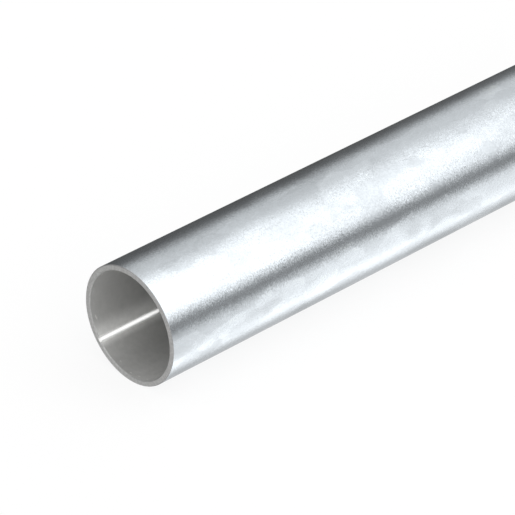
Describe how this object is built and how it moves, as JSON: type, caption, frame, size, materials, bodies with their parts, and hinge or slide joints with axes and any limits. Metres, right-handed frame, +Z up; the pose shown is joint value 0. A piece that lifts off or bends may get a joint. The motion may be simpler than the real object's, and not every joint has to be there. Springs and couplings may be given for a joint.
{
  "type": "steel conduit pipe",
  "caption": "Straight round galvanised steel conduit pipe with plain, square-cut ends, an open bore and a weld bead along its inside.",
  "frame": {"origin": "under the middle of the pipe, on the plane that it lies on", "axes": "+X along the pipe; +Z up; the inner weld bead faces the lower +Y side of the bore"},
  "size_m": [3, 0.025, 0.025],
  "materials": {
    "zinc_coated_steel": "galvanised, satin, with a faint crystal pattern in the zinc"
  },
  "bodies": {
    "root": {"conduit_pipe": "zinc_coated_steel"}
  },
  "joints": []
}
